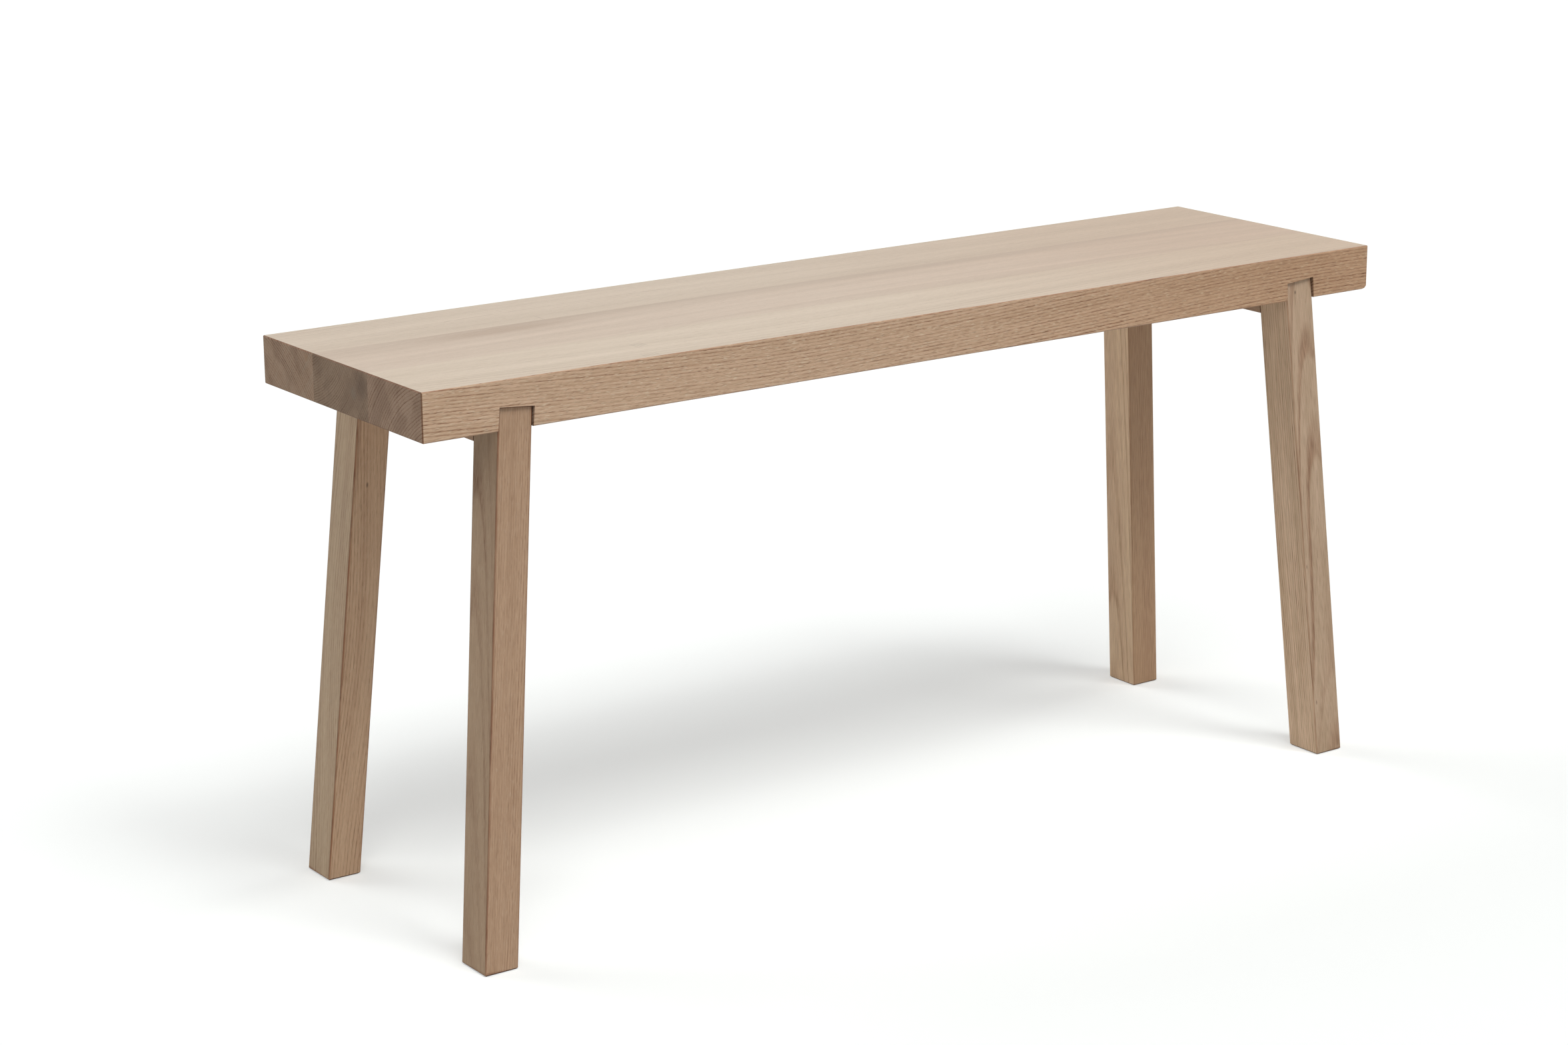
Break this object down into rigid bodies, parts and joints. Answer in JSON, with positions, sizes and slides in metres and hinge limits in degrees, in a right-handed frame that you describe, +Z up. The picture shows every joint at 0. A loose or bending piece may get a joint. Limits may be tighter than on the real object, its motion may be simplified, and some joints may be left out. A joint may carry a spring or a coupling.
{
  "type": "wooden bench",
  "caption": "Long backless oak bench: a thick slab seat glued up from staves, grooved underneath to take two leaning frames of splayed square legs tenoned by a rail.",
  "frame": {"origin": "on the floor, under the centre of the bench's footprint", "axes": "+X along the bench, to the right as one faces its front; +Y from the front towards the back; +Z up"},
  "size_m": [0.94, 0.2818, 0.45],
  "materials": {
    "oak_stave_back": "oiled matt, fine straight grain",
    "oak_stave_middle": "oiled matt, fine straight grain",
    "oak_stave_front": "oiled matt, fine straight grain",
    "oak_leg_front_left": "oiled matt, straight grain",
    "oak_leg_front_right": "oiled matt, streaked grain with a pin knot",
    "oak_leg_back_left": "oiled matt, straight grain with a pin knot",
    "oak_leg_back_right": "oiled matt, straight grain",
    "oak_rail_left": "oiled matt, straight grain",
    "oak_rail_right": "oiled matt, straight grain",
    "zinc_plated_screws": "zinc plated",
    "zinc_plated_washers": "zinc plated"
  },
  "bodies": {
    "root": {"seat_stave_back": "oak_stave_back", "seat_stave_middle": "oak_stave_middle", "seat_stave_front": "oak_stave_front", "leg_front_left": "oak_leg_front_left", "leg_front_right": "oak_leg_front_right", "leg_back_left": "oak_leg_back_left", "leg_back_right": "oak_leg_back_right", "rail_left": "oak_rail_left", "rail_right": "oak_rail_right", "rail_screws": "zinc_plated_screws", "screw_washers": "zinc_plated_washers"}
  },
  "joints": []
}
